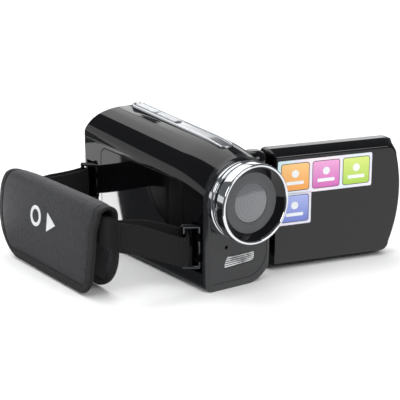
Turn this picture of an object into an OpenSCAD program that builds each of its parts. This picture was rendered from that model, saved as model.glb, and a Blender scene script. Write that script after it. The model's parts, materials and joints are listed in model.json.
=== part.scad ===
/* [Body] */
// Half width of the body, which is also the radius of its round top
body_r = 17.5; // [17:0.1:18]
// How far the front face stands in front of the tripod socket
front_y = 48; // [47.5:0.1:48.5]
// How far the rear face stands behind the tripod socket
rear_y = 50.5; // [50:0.1:51]
// Height of the round top's axis at the front face
top_axis_front = 41.2; // [41:0.1:41.4]
// Rise of the top for each millimetre towards the rear
top_slope = 0.084; // [0.08:0.001:0.088]
// Radius of the rounded rear end, seen from the side
rear_top_r = 22; // [21:0.5:23]
// Radius of the body's lower edge on the strap side
strap_low_r = 4; // [3.6:0.1:5]
// Radius of the body's lower edge on the screen side
screen_low_r = 13.5; // [12:0.1:14]
// Thickness of the moulded shells
wall = 1.8; // [1.6:0.1:2]
// Width of the bezel round the front panel
bezel_w = 3; // [2.8:0.1:3.2]
// Depth of that bezel
bezel_d = 2.2; // [2:0.1:2.4]

/* [Lens] */
// Height of the lens axis above the table
lens_z = 38; // [37.8:0.1:38.2]
// Outer radius of the front lens ring
lens_r = 17; // [16.8:0.1:17.1]
// How far the lens barrel stands out of the front face
lens_len = 11; // [10.8:0.1:11.2]
// Radius of the visible front glass
glass_r = 8.2; // [8:0.1:8.4]

/* [Screen] */
// Hinge axis, sideways from the middle of the body
hinge_x = 15; // [14.8:0.1:15.2]
// Hinge axis, in front of the tripod socket
hinge_y = 37; // [36.8:0.1:37.2]
// Angle between the closed and the open screen
open_angle = 102.5; // [95:0.5:105]
// Length of the screen unit
lcd_len = 66.5; // [66:0.1:66.7]
// Thickness of the screen unit
lcd_t = 11.5; // [11.3:0.1:11.6]
// Lowest edge of the screen unit
lcd_z0 = 0.5; // [0.4:0.1:0.8]
// Highest edge of the screen unit
lcd_z1 = 53.4; // [53:0.1:53.6]

/* [Battery] */
// Radius of one cell
cell_r = 5.2; // [5.1:0.05:5.25]
// Length of one cell
cell_len = 44.5; // [44:0.1:44.5]
// Thickness of the battery door
door_t = 1.6; // [1.4:0.1:1.6]
// Gap round the battery door
door_gap = 0.3; // [0.25:0.05:0.35]

/* [Strap] */
// Width of the webbing
web_w = 12.6; // [12:0.1:12.8]
// Thickness of the webbing
web_t = 1.2; // [1:0.1:1.2]
// Thickness of one padded flap
flap_t = 2.6; // [2.2:0.1:2.8]
// Radius of the ring wire
wire_r = 0.9; // [0.8:0.05:0.9]

/* [Fits] */
// Radial clearance of a shaft that turns in its hole
run = 0.05; // [0.02:0.01:0.08]
// Gap between separate mouldings
gap = 0.1; // [0.05:0.05:0.15]
// Gap round a button in its opening
key_gap = 0.3; // [0.25:0.05:0.4]

/* [Hidden] */
$fn = 64;

tilt = atan(top_slope);
axis_mid = top_axis_front + top_slope * front_y;
rear_arc_y = rear_y - rear_top_r;
rear_arc_z = axis_mid + top_slope * rear_arc_y + body_r / cos(tilt) - rear_top_r;
edge_r = 3;
rear_low_r = 5;
far = 100;

// Where the top starts to curve down towards the lens, and the radius of that curve at the axis
nose_y = -24;
nose_r = 80;
nose_s = nose_y / cos(tilt);
shell_y = -front_y + bezel_d + gap;

// Lens stations, measured along the barrel from the front face
groove_y0 = 3.6;
groove_y1 = 5.6;
groove_r = 15.5;
tube_r = 12.4;
rim_bore_r = 15.6;
dish_depth = 4.6;
cell_r_out = 10;
cell_back = 8;

// Screen unit, in the hinge's own frame: closed, +Y along the unit and +X outwards
lcd_out = 2.8;
lcd_in = lcd_out - lcd_t;
lcd_y0 = 7.6;
lcd_y1 = lcd_y0 + lcd_len;
lcd_split = lcd_out - 6;
lcd_wall = 1.4;
bow_r = 65;
bow_z = 30;
far_top_r = 7;
far_low_r = 5;
flip_x = lcd_out - lcd_t / 2;
flip_z = (lcd_z0 + lcd_z1) / 2;
shaft_r = 2;
pin_r = 1.2;
barrel_r = 3.2;
barrel_z0 = 12;
barrel_z1 = 40.5;
tower_r = 5.8;
tower_z = 54.6;
tower_edge = 4;
pin_over = 2.6;
block_z = 6.2;
view_y0 = 18.6;
view_y1 = 60.6;
view_z0 = 10.5;
view_z1 = 42;

// Pocket that the closed screen lies in
pocket_x = 6;
pocket_y0 = -hinge_y + 5.7;
pocket_y1 = -hinge_y + lcd_y1 + 0.8;
pocket_z = lcd_z1 + 0.6;
pocket_wall = 1.3;
sweep_r = 9.8;

// Battery compartment
door_y0 = -31.6;
door_y1 = 33.9;
door_z0 = 12.5;
door_z_front = 44.5;
door_z_rear = 46.8;
door_corner = 4;
cell_x = -10.3;
cell_z = [17.4, 28.4, 39.4];
cell_y0 = -23;
tray_x = -4.6;
tray_side = 15.1;

// Top trim, measured in the tilted frame of the top
trim_y0 = -39;
trim_y1 = 33;
trim_w = 7.3;
plate_w = 5.4;
rocker_y = [-2, 13.7];
shutter_y = [14.3, 30.6];

// Keys behind the screen
key_y = [-18, -6, 6, 18];
key_z = 38;
key_r = 2.6;
speaker_z = 22;

// Strap anchors: ring pivot, outer bar, lower and upper leg
front_pivot = [-16, -41.6];
front_bar = [-21.5, -37.5];
front_legs = [9.6, 27.4];
rear_pivot = [-16, 39.4];
rear_bar = [-21, 45];
rear_legs = [21, 37];
front_nook = [-45.2, -38.2];
rear_nook = [36.8, 46.8];

// Hand pad: its ends, its heights and where its two flaps hang
pad_y0 = -26.6;
pad_y1 = 58.3;
pad_top = 39.8;
pad_low = 0.6;
fold_x = -52.4;
fold_half = 3.2;
outer_low_x = -59.6;
inner_low_x = -48.6;
inner_y1 = 29;

// Routes of the webbing, each point sideways, along the body and the height of its middle
front_route = [
    [-53.5, -8, 28.4], [-53.5, -20, 28.4], [-53.5, -29, 28.3], [-53.2, -33.4, 28.2], [-51.8, -36.2, 27.7],
    [-48.8, -37.6, 27], [-45, -38.2, 26], [-40, -38.9, 24.1], [-33, -40, 21.1], [-27, -40.5, 18.6],
    [-23.8, -40.3, 17.2], [-21.8, -39.6, 17], [-20, -38.7, 17.6], [-19.6, -37.2, 18.4], [-20.4, -35.8, 19.4],
    [-24, -34, 20.9], [-30, -32.6, 23.2], [-37, -32.4, 25.4], [-43, -33.4, 26.8], [-47.4, -34.4, 27.6],
    [-49.9, -34.4, 28], [-51.4, -33, 28.2], [-52.1, -28.4, 28.4], [-52.1, -8, 28.4]
];
rear_route = [
    [-52.1, 16, 28.6], [-52, 26, 28.8], [-50.6, 32.4, 29.4], [-46, 36.4, 29.6], [-38, 39.4, 28.8],
    [-30, 41.4, 28.4], [-24, 42.8, 28.4], [-21.6, 43, 28.6], [-19.6, 43.4, 28.8], [-19, 45, 28.8],
    [-19.8, 46.6, 28.8], [-21.8, 47, 28.6], [-26, 46.4, 28.4], [-33, 44.8, 28.6], [-41, 42.2, 29.2],
    [-48, 38.4, 29.4], [-52.4, 33.2, 29], [-53.5, 26, 28.6], [-53.5, 16, 28.6]
];

// Outlines and solids that several parts share

// Rectangle with round corners between two corner points
module round_box(x0, y0, x1, y1, r) {
    translate([x0 + r, y0]) square([x1 - x0 - 2 * r, y1 - y0]);
    translate([x0, y0 + r]) square([x1 - x0, y1 - y0 - 2 * r]);
    for (x = [x0 + r, x1 - r], y = [y0 + r, y1 - r])
        translate([x, y]) circle(r);
}

// Slot with round ends along Y
module stadium(w, y0, y1) {
    translate([-w / 2, y0 + w / 2]) square([w, y1 - y0 - w]);
    for (y = [y0 + w / 2, y1 - w / 2])
        translate([0, y]) circle(w / 2);
}

// Endless bar with the body's cross-section, shrunk by i all round
module body_bar(i) {
    intersection() {
        translate([0, 0, axis_mid])
            rotate([tilt - 90, 0, 0])
                translate([0, 0, nose_s]) {
                    linear_extrude(2 * far) {
                        circle(body_r - i);
                        translate([-(body_r - i), 0]) square([2 * (body_r - i), far]);
                    }
                    translate([0, nose_r, 0])
                        rotate([-90, 0, -90])
                            rotate_extrude(angle = 90, $fn = 200) {
                                translate([nose_r, 0]) circle(body_r - i, $fn = 96);
                                translate([0, i - body_r]) square([nose_r, 2 * (body_r - i)]);
                            }
                }
        rotate([-90, 0, 0])
            linear_extrude(2 * far, center = true) {
                translate([strap_low_r - body_r, -strap_low_r]) circle(strap_low_r - i);
                translate([body_r - screen_low_r, -screen_low_r]) circle(screen_low_r - i);
                translate([strap_low_r - body_r, -far])
                    square([2 * body_r - strap_low_r - screen_low_r, far - i]);
                translate([i - body_r, -far]) square([body_r - i, far - strap_low_r]);
                translate([-1, -far]) square([body_r - i + 1, far - screen_low_r]);
            }
    }
}

// The body's outer form, shrunk by i all round
module body_form(i) {
    intersection() {
        body_bar(i);
        rotate([90, 0, 90])
            linear_extrude(far, center = true) {
                translate([-front_y + i, i]) square([front_y - i + rear_y - rear_low_r, rear_arc_z - i]);
                translate([-front_y + i, rear_low_r])
                    square([front_y + rear_y - 2 * i, rear_arc_z - rear_low_r]);
                translate([rear_y - rear_low_r, rear_low_r]) circle(rear_low_r - i);
                translate([-front_y + i, rear_arc_z - 1]) square([front_y - i + rear_arc_y, far]);
                translate([rear_arc_y, rear_arc_z]) circle(rear_top_r - i);
            }
        linear_extrude(far)
            round_box(-body_r + i, -front_y + i, body_r - i, rear_y - i, max(edge_r - i, 0.6));
    }
}

module shell_skin() {
    difference() {
        body_form(0);
        body_form(wall);
    }
}

module side_slab(x0, x1, y0, y1) {
    translate([x0, y0, -1]) cube([x1 - x0, y1 - y0, far]);
}

// Moves children into the frame of the sloping top, with z = 0 on its crest
module on_top() {
    translate([0, 0, axis_mid])
        rotate([tilt, 0, 0])
            translate([0, 0, body_r]) children();
}

// Lies children along the lens, with z pointing out of the front face
module on_lens() {
    translate([0, -front_y, lens_z]) rotate([90, 0, 0]) children();
}

// Battery door outline in the plane of the right side, grown by i
module door_outline(i) {
    rotate([90, 0, 90])
        linear_extrude(body_r, center = true)
            offset(r = door_corner + i, $fn = 48) offset(delta = -door_corner)
                polygon([[door_y0, door_z0], [door_y1, door_z0],
                    [door_y1, door_z_rear], [door_y0, door_z_front]]);
}

// Puts children of the hinge frame where the open screen stands
module at_open() {
    translate([hinge_x, -hinge_y, 0]) rotate([0, 0, -open_angle]) children();
}

// Far end of the screen unit, with a larger corner at the top than at the bottom
module lcd_far_end(i) {
    y0 = lcd_y1 - 20;
    translate([y0, lcd_z0 + far_low_r])
        square([20 - i, lcd_z1 - lcd_z0 - far_top_r - far_low_r]);
    translate([y0, lcd_z0 + i]) square([20 - far_low_r, far_low_r + 1]);
    translate([y0, lcd_z1 - far_top_r - 1]) square([20 - far_top_r, far_top_r + 1 - i]);
    translate([lcd_y1 - far_low_r, lcd_z0 + far_low_r]) circle(far_low_r - i);
    translate([lcd_y1 - far_top_r, lcd_z1 - far_top_r]) circle(far_top_r - i);
}

// Outline of the screen unit as a plate between two depths, shrunk by i
module lcd_plate(x0, x1, i) {
    translate([x0, 0, 0])
        rotate([90, 0, 90])
            linear_extrude(x1 - x0)
                intersection() {
                    union() {
                        round_box(lcd_y0 + i, lcd_z0 + i, lcd_y1 - 12, lcd_z1 - i, 2);
                        lcd_far_end(i);
                    }
                    translate([lcd_y1 - bow_r, bow_z]) circle(bow_r - i);
                }
}

// Ribbon along a route: a closed loop of rings, each upright and square to the route
function flat_dir(p, q) = let (d = [q[0] - p[0], q[1] - p[1]]) d / norm(d);
function ribbon_dir(r, k) = flat_dir(r[max(k - 1, 0)], r[min(k + 1, len(r) - 1)]);
function ribbon_ring(r, k, w, t) =
    let (d = ribbon_dir(r, k), n = [-d[1], d[0]], p = r[k])
    [for (c = [[-1, -1], [1, -1], [1, 1], [-1, 1]])
        [p[0] + c[0] * n[0] * t / 2, p[1] + c[0] * n[1] * t / 2, p[2] + c[1] * w / 2]];
module ribbon(route, w, t) {
    n = len(route);
    points = [for (k = [0:n - 1]) each ribbon_ring(route, k, w, t)];
    sides = [for (k = [0:n - 2], s = [0:3])
        [4 * k + s, 4 * k + (s + 1) % 4, 4 * k + 4 + (s + 1) % 4, 4 * k + 4 + s]];
    polyhedron(points, concat([[3, 2, 1, 0]], sides, [[for (s = [0:3]) 4 * (n - 1) + s]]));
}

// Wire rectangle between a pivot bar and an outer bar
module wire_ring(pivot, bar, legs) {
    reach = norm(bar - pivot);
    turn = atan2(bar[1] - pivot[1], bar[0] - pivot[0]);
    translate([pivot[0], pivot[1], 0])
        rotate([0, 0, turn]) {
            for (x = [0, reach])
                translate([x, 0, legs[0]]) cylinder(r = wire_r, h = legs[1] - legs[0]);
            for (z = legs) {
                translate([0, 0, z]) rotate([0, 90, 0]) cylinder(r = wire_r, h = reach);
                for (x = [0, reach])
                    translate([x, 0, z]) sphere(wire_r);
            }
        }
}

// Recess in the right side for a strap ring
module anchor_chunk(y0, y1, legs) {
    intersection() {
        body_form(0);
        translate([-body_r - 1, y0 - 1.4, legs[0] - 3.4])
            cube([6.2, y1 - y0 + 2.8, legs[1] - legs[0] + 6.8]);
    }
}
module anchor_recess(y0, y1, legs) {
    translate([-body_r - 1, y0, legs[0] - 1.7])
        cube([4.4, y1 - y0, legs[1] - legs[0] + 3.4]);
}
module anchor_lugs(pivot, legs) {
    for (z = [legs[0] + 3, legs[1] - 6])
        difference() {
            translate([-body_r + 0.2, pivot[1] - 1.7, z]) cube([3.6, 3.4, 3]);
            translate([pivot[0], pivot[1], z - 1]) cylinder(r = wire_r + run, h = 5);
        }
}

// Screws that join the shells, and the holes for them
screw_spots = [[-28.6, 6], [31.6, 6], [31.6, 49], [-28.6, 49]];
boss_r = 2.3;
thread_r = 0.9;
shank_r = 1.05;
head_r = 1.9;

// Casing

module right_shell() {
    color("#17181a") {
        difference() {
            union() {
                intersection() {
                    shell_skin();
                    side_slab(-far, -gap / 2, shell_y, far);
                }
                anchor_chunk(front_nook[0], front_nook[1], front_legs);
                anchor_chunk(rear_nook[0], rear_nook[1], rear_legs);
                intersection() {
                    body_form(0.6);
                    for (p = screw_spots)
                        translate([-body_r, p[0], p[1]])
                            rotate([0, 90, 0]) cylinder(r = boss_r, h = body_r - 0.4);
                }
            }
            side_slab(-far, far, -far, shell_y);
            door_outline_cut();
            anchor_recess(front_nook[0], front_nook[1], front_legs);
            anchor_recess(rear_nook[0], rear_nook[1], rear_legs);
            for (p = screw_spots)
                translate([-9, p[0], p[1]]) rotate([0, 90, 0]) cylinder(r = thread_r, h = 10);
            top_slot();
            rear_opening();
            tripod_hole();
        }
        anchor_lugs(front_pivot, front_legs);
        anchor_lugs(rear_pivot, rear_legs);
    }
}

module door_outline_cut() {
    translate([-body_r, 0, 0]) door_outline(door_gap);
}

module top_slot() {
    on_top() translate([0, 0, -6]) linear_extrude(8) stadium(trim_w + 2 * gap, trim_y0 - gap, trim_y1 + gap);
}

rear_x = 13.5;
rear_z0 = 9;
rear_z1 = 42;
module rear_opening() {
    translate([0, rear_y + 1, 0])
        rotate([90, 0, 0])
            linear_extrude(4) round_box(-rear_x - gap, rear_z0 - gap, rear_x + gap, rear_z1 + gap, 4);
}

module tripod_hole() {
    translate([0, 0, -1]) cylinder(r = 5.05, h = 12);
}

module pocket_space() {
    translate([pocket_x, pocket_y0, -1]) cube([far, pocket_y1 - pocket_y0, pocket_z + 1]);
}

module left_shell() {
    color("#17181a")
        difference() {
            union() {
                intersection() {
                    shell_skin();
                    side_slab(gap / 2, far, shell_y, far);
                }
                intersection() {
                    body_form(0);
                    translate([pocket_x - pocket_wall, pocket_y0 - pocket_wall, 0])
                        cube([far, pocket_y1 - pocket_y0 + 2 * pocket_wall, pocket_z + pocket_wall]);
                }
                intersection() {
                    body_form(0);
                    translate([10.8, shell_y, 6]) cube([far, 12.6, 40.4]);
                }
                hinge_tower();
            }
            pocket_space();
            hinge_space();
            for (p = screw_spots)
                translate([0, p[0], p[1]]) rotate([0, 90, 0]) {
                    cylinder(r = shank_r, h = 8);
                    translate([0, 0, pocket_x - 0.9]) cylinder(r = head_r, h = 2);
                }
            for (y = key_y)
                translate([0, y, key_z]) rotate([0, 90, 0]) cylinder(r = key_r + key_gap, h = 10);
            speaker_holes();
            top_slot();
            rear_opening();
            tripod_hole();
        }
}

// Round cover over the top of the hinge barrel, which also holds the top of the pin
module hinge_tower() {
    translate([hinge_x, -hinge_y, 0])
        rotate_extrude()
            intersection() {
                union() {
                    translate([0, barrel_z1 + 0.3])
                        square([tower_r, tower_z - tower_edge - barrel_z1 - 0.3]);
                    translate([0, barrel_z1 + 0.3])
                        square([tower_r - tower_edge, tower_z - barrel_z1 - 0.3]);
                    translate([tower_r - tower_edge, tower_z - tower_edge]) circle(tower_edge);
                }
                square([tower_r, far]);
            }
}

// Room that the hinge barrel, its pin and the swinging block take
module hinge_space() {
    translate([hinge_x, -hinge_y, 0]) {
        translate([0, 0, barrel_z0 - 0.3]) cylinder(r = barrel_r + 0.3, h = barrel_z1 - barrel_z0 + 0.6);
        translate([0, 0, barrel_z0 - pin_over - 0.4])
            cylinder(r = pin_r + 0.02, h = barrel_z1 - barrel_z0 + 2 * pin_over + 0.8);
        intersection() {
            translate([0, 0, flip_z - block_z - 0.4]) cylinder(r = sweep_r, h = 2 * block_z + 0.8);
            translate([-far, -1.6, 0]) cube([2 * far, far, far]);
        }
        translate([0, -1.6, barrel_z0 - 0.3]) cube([far, 8, barrel_z1 - barrel_z0 + 0.6]);
        translate([0, -barrel_r - 0.3, barrel_z0 - 0.3])
            cube([far, barrel_r + 0.3, barrel_z1 - barrel_z0 + 0.6]);
    }
}

grille_r = 3.2;
grille_hole_r = 0.7;
module speaker_holes() {
    for (a = [0:60:300])
        translate([0, grille_r * cos(a), speaker_z + grille_r * sin(a)])
            rotate([0, 90, 0]) cylinder(r = grille_hole_r, h = 10);
    translate([0, 0, speaker_z]) rotate([0, 90, 0]) cylinder(r = grille_hole_r, h = 10);
}

module front_bezel() {
    color("#5b5d60")
        difference() {
            intersection() {
                body_form(0);
                side_slab(-far, far, -front_y, -front_y + bezel_d);
            }
            body_bar(bezel_w);
            on_lens() translate([0, 0, -1]) cylinder(r = lens_r - 1.2, h = 4);
        }
}

led_corner = 1.2;
module led_outline(i) {
    offset(r = led_corner + i, $fn = 24) offset(delta = -led_corner)
        polygon([[-8.6, 9], [-6.6, 14.2], [8.1, 14.2], [7.6, 9.9]]);
}

mic_x = -6.9;
mic_z = 18.2;
module front_panel() {
    color("#46484b")
        difference() {
            intersection() {
                body_bar(bezel_w + gap);
                side_slab(-far, far, -front_y + 0.15, -front_y + 2.3);
            }
            on_lens() translate([0, 0, -5]) cylinder(r = tube_r + gap, h = 10);
            translate([0, -front_y + 5, 0]) rotate([90, 0, 0]) linear_extrude(10) led_outline(gap);
            translate([mic_x, -front_y, mic_z]) rotate([90, 0, 0]) cylinder(r = 0.8, h = 10, center = true);
        }
}

module rear_panel() {
    color("#1d1e20")
        difference() {
            translate([0, rear_y - 0.6, 0])
                rotate([90, 0, 0])
                    linear_extrude(1.4) round_box(-rear_x, rear_z0, rear_x, rear_z1, 4);
            translate([0, rear_y, record_at[1]]) rotate([90, 0, 0]) cylinder(r = record_r + key_gap, h = 5);
            translate([mode_at[0], rear_y, mode_at[1]])
                rotate([90, 0, 0]) cylinder(r = mode_r + key_gap, h = 5);
            translate([lamp_at[0], rear_y, lamp_at[1]]) rotate([90, 0, 0]) cylinder(r = lamp_r, h = 5);
            translate([usb_at[0] - 4, rear_y - 4, usb_at[1] - 2]) cube([8, 8, 4]);
            translate([card_x - 0.3, rear_y - 4, card_z0 - 0.3]) cube([card_t + 0.6, 8, card_w + 0.6]);
        }
}

// Lens

module ring(r0, r1, z0, z1) {
    translate([0, 0, z0])
        difference() {
            cylinder(r = r1, h = z1 - z0);
            translate([0, 0, -1]) cylinder(r = r0, h = z1 - z0 + 2);
        }
}

module lens_base_ring() {
    color("#d4d6d9") on_lens() {
        ring(tube_r, lens_r - 0.3, 0.05, groove_y0);
        ring(tube_r, lens_r - 1.4, -0.1, 0.05);
    }
}

module lens_groove_ring() {
    color("#8d9094") on_lens() ring(tube_r, groove_r, groove_y0, groove_y1);
}

module lens_front_ring() {
    color("#e2e4e6") on_lens() {
        ring(rim_bore_r, lens_r, lens_len - dish_depth, lens_len);
        ring(tube_r, lens_r, groove_y1, lens_len - dish_depth);
    }
}

module lens_dish() {
    color("#4b4c4e") on_lens() {
        ring(glass_r, rim_bore_r, lens_len - dish_depth, lens_len - dish_depth + 1.2);
        ring(rim_bore_r - 1, rim_bore_r, lens_len - dish_depth + 1.2, lens_len - 0.8);
    }
}

module lens_glass() {
    color("#7a7c80") on_lens()
        translate([0, 0, lens_len - dish_depth - 0.6]) cylinder(r = glass_r, h = 1.4);
}

module lens_cell() {
    color("#2a2b2d") on_lens() {
        ring(glass_r - 1.2, cell_r_out, -cell_back, lens_len - dish_depth - 0.6);
        ring(cell_r_out, tube_r, groove_y1 - 1.6, lens_len - dish_depth - 0.6);
    }
}

module sensor_board() {
    color("#1f5a35")
        translate([-9, -front_y + cell_back + 0.3, lens_z - 9]) cube([18, 1.2, 18]);
}

module led_window() {
    color("#b9bdc2")
        translate([0, -front_y + 2.2, 0]) rotate([90, 0, 0]) linear_extrude(1.9) led_outline(0);
}

module led_emitters() {
    color("#e9e4d2")
        for (x = [-5, -0.5, 4])
            translate([x, -front_y + 4.6, 11.8]) rotate([90, 0, 0]) {
                cylinder(r = 1.5, h = 2);
                translate([0, 0, -1]) cylinder(r = 1.8, h = 1);
            }
}

module mic_capsule() {
    color("#9a9c9f")
        translate([mic_x, -front_y + 5.4, mic_z]) rotate([90, 0, 0]) cylinder(r = 2.2, h = 2.8);
}

// Top

// Point on the curved nose's crest, raised by lift, in the frame of the sloping top
crest_steps = 24;
crest_turn = 12;
function crest_point(lift, k) =
    let (r = nose_r + body_r, a = k * crest_turn / crest_steps)
    [nose_s - (r + lift) * sin(a), (r + lift) * cos(a) - r];

// Layer along the crest between two heights: straight behind the nose, curved along it
module crest_layer(low, high) {
    rotate([90, 0, 90])
        linear_extrude(far, center = true)
            polygon(concat(
                [[far, low], [far, high]],
                [for (k = [0:crest_steps]) crest_point(high, k)],
                [for (k = [crest_steps:-1:0]) crest_point(low, k)]
            ));
}

module top_trim() {
    color("#d9dbde")
        on_top()
            intersection() {
                crest_layer(-1.6, 0.6);
                translate([0, 0, -far / 2])
                    linear_extrude(far)
                        difference() {
                            stadium(trim_w, trim_y0, trim_y1);
                            stadium(plate_w + 2 * gap, trim_y0 + (trim_w - plate_w) / 2 - gap,
                                trim_y1 - (trim_w - plate_w) / 2 + gap);
                        }
            }
}

module top_plate() {
    color("#c3c6ca")
        on_top()
            difference() {
                intersection() {
                    crest_layer(-1.6, 0.1);
                    translate([0, 0, -far / 2])
                        linear_extrude(far)
                            stadium(plate_w, trim_y0 + (trim_w - plate_w) / 2,
                                trim_y1 - (trim_w - plate_w) / 2);
                }
                for (s = [rocker_y, shutter_y])
                    translate([-plate_w / 2 + 0.6, s[0], -2]) cube([plate_w - 1.2, s[1] - s[0], 4]);
            }
}

key_w = plate_w - 1.2 - 2 * key_gap;
rocker_mid = (rocker_y[0] + rocker_y[1]) / 2;
rocker_gap = key_gap + 0.2;
module zoom_rocker() {
    color("#cfd2d5")
        on_top() {
            translate([-key_w / 2, rocker_y[0] + rocker_gap, -0.9])
                cube([key_w, rocker_y[1] - rocker_y[0] - 2 * rocker_gap, 1.6]);
            translate([0, rocker_mid, -1.6]) rotate([0, 90, 0]) cylinder(r = 0.8, h = key_w, center = true);
        }
}

module shutter_button() {
    color("#cfd2d5")
        on_top() {
            translate([-key_w / 2, shutter_y[0] + key_gap, -1.4])
                cube([key_w, shutter_y[1] - shutter_y[0] - 2 * key_gap, 2.1]);
            translate([0, (shutter_y[0] + shutter_y[1]) / 2, -3]) cylinder(r = 1.2, h = 1.6);
        }
}

// Rear

record_at = [0, 33];
record_r = 5.2;
mode_at = [7.6, 20];
mode_r = 2.6;
lamp_at = [0, 24.4];
lamp_r = 1;
usb_at = [-7, 14];
card_x = 0.2;
card_t = 1;
card_w = 11;
card_z0 = 10.6;
card_len = 15;

module record_button() {
    color("#a8201c")
        translate([0, rear_y + 0.8, record_at[1]]) rotate([90, 0, 0]) {
            cylinder(r = record_r, h = 4);
            translate([0, 0, 3.2]) cylinder(r = record_r + 1, h = 0.8);
        }
}

module mode_button() {
    color("#c9ccd0")
        translate([mode_at[0], rear_y + 0.6, mode_at[1]]) rotate([90, 0, 0]) {
            cylinder(r = mode_r, h = 3.8);
            translate([0, 0, 3]) cylinder(r = mode_r + 0.9, h = 0.8);
        }
}

module status_lamp() {
    color("#4fae57")
        translate([lamp_at[0], rear_y - 0.5, lamp_at[1]]) rotate([90, 0, 0]) cylinder(r = lamp_r, h = 3);
}

module usb_port() {
    color("#b8bcc0")
        translate([usb_at[0], rear_y - 0.8, usb_at[1]]) rotate([90, 0, 0])
            difference() {
                translate([-3.9, -1.9, 0]) cube([7.8, 3.8, 8.6]);
                translate([-3.4, -1.4, -1]) cube([6.8, 2.8, 8.4]);
            }
}

module card_socket() {
    color("#9fa3a7")
        difference() {
            translate([card_x - 1.1, rear_y - 20, card_z0 - 0.9]) cube([card_t + 2.2, 17.8, card_w + 1.8]);
            translate([card_x - 0.15, rear_y - 18.4, card_z0 - 0.15]) cube([card_t + 0.3, 20, card_w + 0.3]);
        }
}

module memory_card() {
    color("#22252b")
        translate([card_x, rear_y - 16, card_z0]) cube([card_t, card_len, card_w]);
}

// Keys and speaker behind the screen

module side_key(k) {
    translate([pocket_x - 3.6, key_y[k], key_z]) rotate([0, 90, 0]) {
        cylinder(r = key_r, h = 3.5);
        translate([0, 0, 1.1]) cylinder(r = key_r + 0.9, h = 0.8);
    }
}
module menu_key() { color("#babdc1") side_key(0); }
module up_key() { color("#babdc1") side_key(1); }
module down_key() { color("#babdc1") side_key(2); }
module play_key() { color("#babdc1") side_key(3); }

module speaker() {
    color("#2c2d2f")
        translate([pocket_x - pocket_wall - 2.6, 0, speaker_z]) rotate([0, 90, 0]) cylinder(r = 7, h = 2.5);
}

// Inside

module tripod_insert() {
    color("#a9adb1")
        difference() {
            cylinder(r = 5, h = 8);
            translate([0, 0, -1]) cylinder(r = 3.175, h = 7.6);
        }
}

module main_board() {
    color("#1f5a35") translate([-2.6, -36, 9.4]) cube([1.2, 78, 36.4]);
    color("#1b1c1e") for (p = [[-24, 20], [-6, 26], [12, 18]])
        translate([-1.4, p[0], p[1]]) cube([0.9, 9, 9]);
}

module battery_tray() {
    color("#26272a")
        difference() {
            translate([-tray_side, cell_y0 - 4.2, 10.8]) cube([tray_side + tray_x + 1.2, cell_len + 8.4, 35]);
            translate([-tray_side - 1, cell_y0 - 3, 12]) cube([tray_side + 1 + tray_x, cell_len + 6, 32.8]);
        }
}

module battery_cells() {
    color("#8a7a3c")
        for (z = cell_z)
            translate([cell_x, cell_y0, z]) rotate([-90, 0, 0]) {
                cylinder(r = cell_r, h = cell_len - 1);
                cylinder(r = 1.9, h = cell_len);
            }
}

module battery_contacts() {
    color("#c8cbce")
        for (z = cell_z) {
            translate([cell_x - 3.5, cell_y0 + cell_len + 0.05, z - 3.5]) cube([7, 0.6, 7]);
            translate([cell_x, cell_y0 - 0.05, z]) rotate([90, 0, 0]) {
                cylinder(r1 = 2.2, r2 = 3.4, h = 2.3);
                translate([0, 0, 2.3]) cylinder(r = 4, h = 0.5);
            }
        }
}

module battery_door() {
    color("#1b1c1e")
        intersection() {
            difference() {
                body_form(0);
                body_form(door_t);
            }
            translate([-body_r, 0, 0]) door_outline(0);
        }
}

module case_screws() {
    color("#8f9296")
        for (p = screw_spots)
            translate([0, p[0], p[1]]) rotate([0, 90, 0]) {
                translate([0, 0, -8]) cylinder(r = thread_r - 0.02, h = 8 + pocket_x - 0.9);
                translate([0, 0, pocket_x - 0.9]) cylinder(r = head_r - 0.1, h = 0.7);
            }
}

// Screen

module hinge_pin() {
    color("#b4b7ba")
        translate([hinge_x, -hinge_y, barrel_z0 - pin_over])
            cylinder(r = pin_r, h = barrel_z1 - barrel_z0 + 2 * pin_over);
}

module hinge_block() {
    color("#202123")
        at_open()
            difference() {
                union() {
                    translate([0, 0, barrel_z0]) cylinder(r = barrel_r, h = barrel_z1 - barrel_z0);
                    translate([flip_x - 3.2, 0, flip_z - block_z]) cube([6.4, lcd_y0 - 0.5, 2 * block_z]);
                }
                translate([0, 0, barrel_z0 - 1]) cylinder(r = pin_r + run, h = barrel_z1 - barrel_z0 + 2);
                translate([flip_x, 3.4, flip_z]) rotate([-90, 0, 0]) cylinder(r = shaft_r + run, h = 10);
            }
}

module tilt_shaft() {
    color("#b4b7ba")
        at_open() translate([flip_x, 3.6, flip_z])
            rotate([-90, 0, 0]) cylinder(r = shaft_r, h = lcd_y0 + 1.6);
}

module shaft_hole() {
    translate([flip_x, 0, flip_z]) rotate([-90, 0, 0]) cylinder(r = shaft_r, h = lcd_y0 + 6);
}

module lcd_cover() {
    color("#2c2d30")
        at_open()
            difference() {
                lcd_plate(lcd_split, lcd_out, 0);
                lcd_plate(lcd_split - 1, lcd_out - lcd_wall, lcd_wall);
                shaft_hole();
            }
}

module lcd_frame() {
    color("#1b1c1e")
        at_open()
            difference() {
                lcd_plate(lcd_in, lcd_split - gap, 0);
                lcd_plate(lcd_in + lcd_wall, lcd_split + 1, lcd_wall);
                translate([lcd_in - 1, view_y0, view_z0]) cube([4, view_y1 - view_y0, view_z1 - view_z0]);
                shaft_hole();
            }
}

module lcd_panel() {
    color("#0c0d10")
        at_open() translate([lcd_in + lcd_wall, view_y0 - 2, view_z0 - 2])
            cube([2.6, view_y1 - view_y0 + 4, view_z1 - view_z0 + 4]);
}

module lcd_window() {
    color("#1a1c22")
        at_open() translate([lcd_in + 0.3, view_y0, view_z0])
            cube([lcd_wall - 0.3, view_y1 - view_y0, view_z1 - view_z0]);
}

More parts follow.
